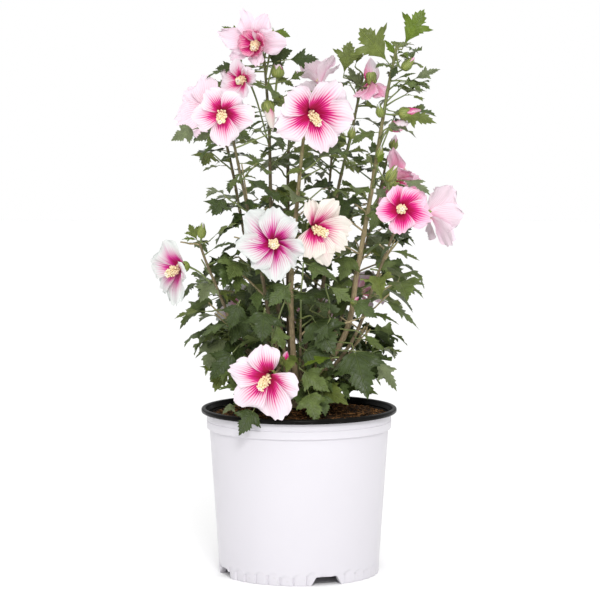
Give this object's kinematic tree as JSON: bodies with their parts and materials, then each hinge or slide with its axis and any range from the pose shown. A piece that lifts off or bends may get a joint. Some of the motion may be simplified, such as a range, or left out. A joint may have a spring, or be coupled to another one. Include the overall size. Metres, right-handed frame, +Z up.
{
  "type": "potted hibiscus shrub",
  "caption": "Young flowering hibiscus shrub with upright stems, lobed leaves and open blossoms, standing in a round tapered nursery pot filled with bark mix.",
  "frame": {"origin": "centre of the pot's flat underside, where the pot stands", "axes": "+Z up along the pot's axis; -Y is the plant's front; +X is to the right seen from the front"},
  "size_m": [0.4347, 0.361, 0.799],
  "materials": {
    "pot_white": "satin white moulded plastic",
    "pot_black": "satin black moulded plastic",
    "potting_mix": "rough brown shredded bark",
    "bark": "matte tan bark, greener on young stems",
    "foliage": "satin leaves, with thin petals of white to pink"
  },
  "bodies": {
    "root": {"pot": "pot_white", "pot_lining": "pot_black", "soil": "potting_mix", "trunk": "bark", "bough_centre": "bark", "bough_tall": "bark", "bough_right": "bark", "bough_left": "bark", "bough_front_left": "bark", "bough_peak_left": "bark", "bough_back": "bark", "bough_back_right": "bark", "bough_high_right": "bark", "bough_far_left": "bark", "bough_far_right": "bark", "foliage_centre": "foliage", "foliage_tall": "foliage", "foliage_right": "foliage", "foliage_left": "foliage", "foliage_front_left": "foliage", "foliage_peak_left": "foliage", "foliage_back": "foliage", "foliage_back_right": "foliage", "foliage_high_right": "foliage", "foliage_far_left": "foliage", "foliage_far_right": "foliage", "foliage_low_front": "foliage", "foliage_low_front_right": "foliage", "foliage_low_right": "foliage", "foliage_low_back_right": "foliage", "foliage_low_back": "foliage", "foliage_low_back_left": "foliage", "foliage_low_left": "foliage", "foliage_low_front_left": "foliage"}
  },
  "joints": []
}
